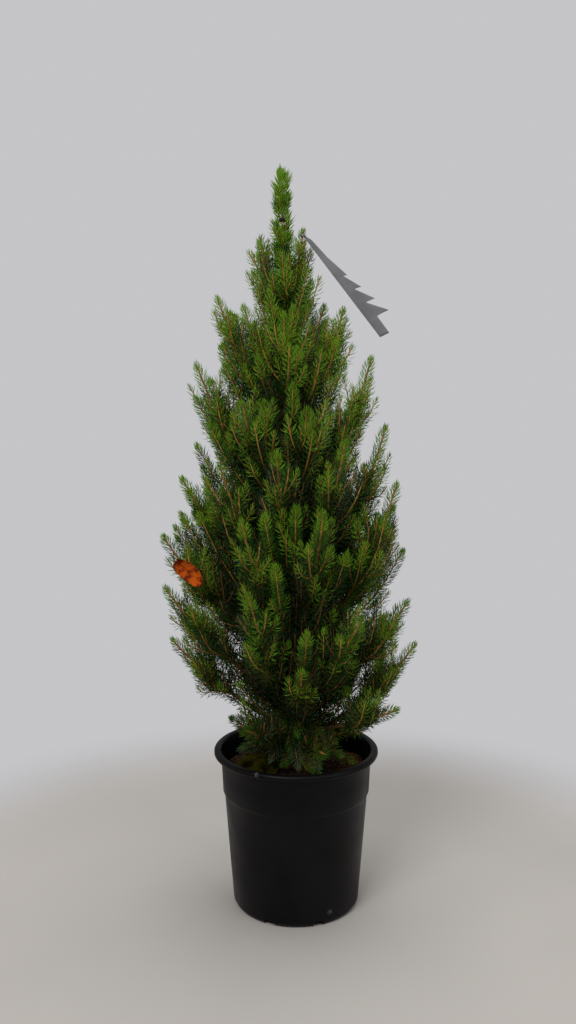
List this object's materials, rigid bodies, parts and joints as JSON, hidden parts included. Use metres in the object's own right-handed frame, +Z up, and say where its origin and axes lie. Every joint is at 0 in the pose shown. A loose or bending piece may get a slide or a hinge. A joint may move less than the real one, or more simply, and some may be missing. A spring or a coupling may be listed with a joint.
{
  "type": "potted dwarf alberta spruce",
  "caption": "Narrow cone-shaped dwarf spruce with upswept plumes of short needles on a straight trunk, growing in a round dark nursery pot with a rolled rim.",
  "frame": {"origin": "centre of the pot's flat underside, at floor level", "axes": "+Z up, along the pot's axis and the trunk; -Y towards the side seen in the picture; +X to that view's right"},
  "size_m": [0.3808, 0.3182, 1.079],
  "materials": {
    "pot": "satin moulded plastic, near black",
    "soil": "damp crumbly potting mix",
    "moss": "yellow green moss",
    "bark": "rough brown bark",
    "needles": "short green needles",
    "tag": "plain grey plastic tag",
    "tie": "dark soft band",
    "dry_leaf": "curled rust brown dead leaf"
  },
  "bodies": {
    "root": {"dry_leaf": "dry_leaf", "foot_foliage_1": "needles", "leader_foliage": "needles", "leader_tie": "tie", "lower_bough_1": "bark", "lower_bough_4": "bark", "lower_bough_5": "bark", "lower_bough_6": "bark", "lower_foliage_1": "needles", "lower_foliage_2": "needles", "lower_foliage_3": "needles", "lower_foliage_4": "needles", "lower_foliage_5": "needles", "lower_foliage_6": "needles", "middle_foliage_1": "needles", "middle_foliage_2": "needles", "middle_foliage_3": "needles", "middle_foliage_4": "needles", "middle_foliage_5": "needles", "middle_foliage_6": "needles", "middle_foliage_7": "needles", "moss_cushion": "moss", "plant_tag": "tag", "pot": "pot", "shoulder_foliage_1": "needles", "shoulder_foliage_2": "needles", "shoulder_foliage_3": "needles", "shoulder_foliage_4": "needles", "shoulder_foliage_5": "needles", "skirt_bough_1": "bark", "skirt_bough_4": "bark", "skirt_bough_5": "bark", "skirt_bough_6": "bark", "skirt_bough_7": "bark", "skirt_foliage_1": "needles", "skirt_foliage_2": "needles", "skirt_foliage_3": "needles", "skirt_foliage_4": "needles", "skirt_foliage_5": "needles", "skirt_foliage_6": "needles", "skirt_foliage_7": "needles", "soil": "soil", "top_foliage_1": "needles", "top_foliage_2": "needles", "top_foliage_3": "needles", "trunk": "bark", "upper_foliage_1": "needles", "upper_foliage_2": "needles", "upper_foliage_3": "needles", "upper_foliage_4": "needles", "waist_bough_1": "bark", "waist_bough_4": "bark", "waist_bough_5": "bark", "waist_bough_6": "bark", "waist_foliage_1": "needles", "waist_foliage_2": "needles", "waist_foliage_3": "needles", "waist_foliage_4": "needles", "waist_foliage_5": "needles", "waist_foliage_6": "needles"}
  },
  "joints": []
}
